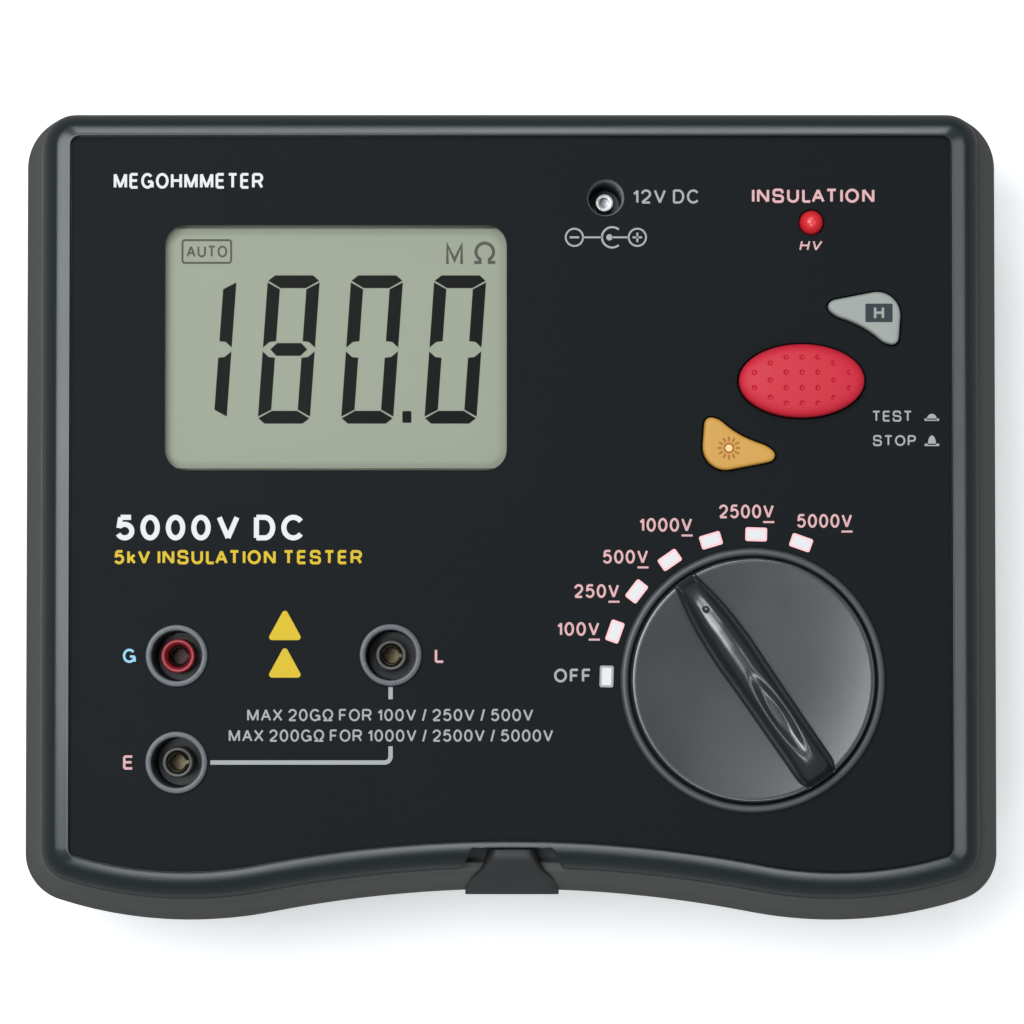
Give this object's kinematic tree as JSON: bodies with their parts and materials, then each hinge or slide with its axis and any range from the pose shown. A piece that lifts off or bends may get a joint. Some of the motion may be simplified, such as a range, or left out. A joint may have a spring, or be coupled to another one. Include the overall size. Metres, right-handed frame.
{
  "type": "insulation resistance tester",
  "caption": "Case-type insulation resistance tester with a display, a rotary range selector, sprung keys and shrouded test sockets.",
  "frame": {"origin": "middle of the tester's footprint, on the surface that its feet stand on", "axes": "+Z out of the panel, +X to the panel's right along the longest side, +Y to the rear edge"},
  "size_m": [0.25, 0.2064, 0.0888],
  "materials": {
    "bezel_plastic": "fine-grained moulded dark slate plastic",
    "case_plastic": "fine-grained moulded dark grey plastic",
    "panel_film": "satin printed polyester overlay",
    "knob_plastic": "satin moulded slate grey plastic",
    "collar_plastic": "satin moulded mid-grey plastic",
    "red_rubber": "satin moulded red silicone",
    "grey_rubber": "satin moulded light grey silicone",
    "amber_rubber": "satin moulded amber silicone",
    "black_rubber": "matt moulded black rubber",
    "black_plastic": "matt moulded black plastic",
    "white_plastic": "matt moulded off-white plastic",
    "socket_plastic": "satin moulded dark grey plastic",
    "sleeve_plastic": "satin moulded light grey plastic",
    "red_plastic": "satin moulded red plastic",
    "red_lens": "clear red moulded epoxy",
    "window_plastic": "clear acrylic, slightly green",
    "lcd_cell": "grey-green reflective liquid crystal cell",
    "contact_metal": "nickel-plated turned brass",
    "steel": "zinc-plated steel",
    "spring_steel": "bright drawn spring steel",
    "board_green": "green solder-masked glass-epoxy board",
    "core_iron": "varnished laminated core with a taped winding",
    "component_blue": "sleeved and dipped component bodies",
    "cell_jacket": "printed steel cell jacket",
    "wire_red": "red silicone wire insulation",
    "cable_grey": "grey flat ribbon cable"
  },
  "bodies": {
    "case": {"upper_case": "bezel_plastic", "lower_case": "case_plastic", "panel_overlay": "panel_film", "battery_cover": "case_plastic", "battery_cover_screws": "steel", "case_screws": "steel", "rubber_feet": "black_rubber", "lcd_window": "window_plastic", "lcd_glass": "lcd_cell", "lcd_holder": "white_plastic", "backlight_panel": "white_plastic", "zebra_strips": "black_rubber", "lcd_holder_screws": "steel", "knob_collar": "collar_plastic", "detent_spring": "spring_steel", "shaft_bushing": "contact_metal", "bushing_nut": "steel", "test_spring": "spring_steel", "test_switch": "black_plastic", "tact_switches": "black_plastic", "hv_led": "red_lens", "led_holder": "black_plastic", "buzzer": "black_plastic", "line_socket_body": "socket_plastic", "line_socket_sleeve": "sleeve_plastic", "line_socket_contact": "contact_metal", "earth_socket_body": "socket_plastic", "earth_socket_sleeve": "sleeve_plastic", "earth_socket_contact": "contact_metal", "guard_socket_body": "socket_plastic", "guard_socket_sleeve": "red_plastic", "guard_socket_contact": "contact_metal", "socket_nuts": "steel", "dc_jack_body": "black_plastic", "dc_jack_pin": "contact_metal", "dc_jack_nut": "steel", "main_board": "board_green", "board_screws": "steel", "processor_chip": "black_plastic", "power_board": "board_green", "power_board_screws": "steel", "hv_transformer": "core_iron", "hv_capacitors": "component_blue", "hv_relays": "white_plastic", "socket_leads": "wire_red", "battery_holder": "black_plastic", "batteries": "cell_jacket", "battery_contacts": "spring_steel", "board_cable": "cable_grey"},
    "selector": {"selector_knob": "knob_plastic", "knob_shaft": "steel", "knob_clip": "spring_steel", "switch_rotor": "white_plastic", "detent_wheel": "white_plastic"},
    "test_key": {"test_button": "red_rubber", "test_plunger": "white_plastic"},
    "hold_key": {"hold_button": "grey_rubber", "hold_plunger": "white_plastic"},
    "light_key": {"light_button": "amber_rubber", "light_plunger": "white_plastic"}
  },
  "joints": [
    {"name": "knob_turn", "type": "hinge", "parent": "case", "child": "selector", "pos_m": [0.0612, -0.0416, 0.076], "axis": [0, 0, 1], "range_deg": [-54, 54]},
    {"name": "test_press", "type": "slide", "parent": "case", "child": "test_key", "axis": [0, 0, -1], "range_m": [0, 0.003], "stiffness_N_per_m": 400, "springref_m": -0.003, "deforming": ["test_spring"]},
    {"name": "hold_press", "type": "slide", "parent": "case", "child": "hold_key", "axis": [0, 0, -1], "range_m": [0, 0.0012], "stiffness_N_per_m": 500, "springref_m": -0.001},
    {"name": "light_press", "type": "slide", "parent": "case", "child": "light_key", "axis": [0, 0, -1], "range_m": [0, 0.0012], "stiffness_N_per_m": 500, "springref_m": -0.001}
  ]
}
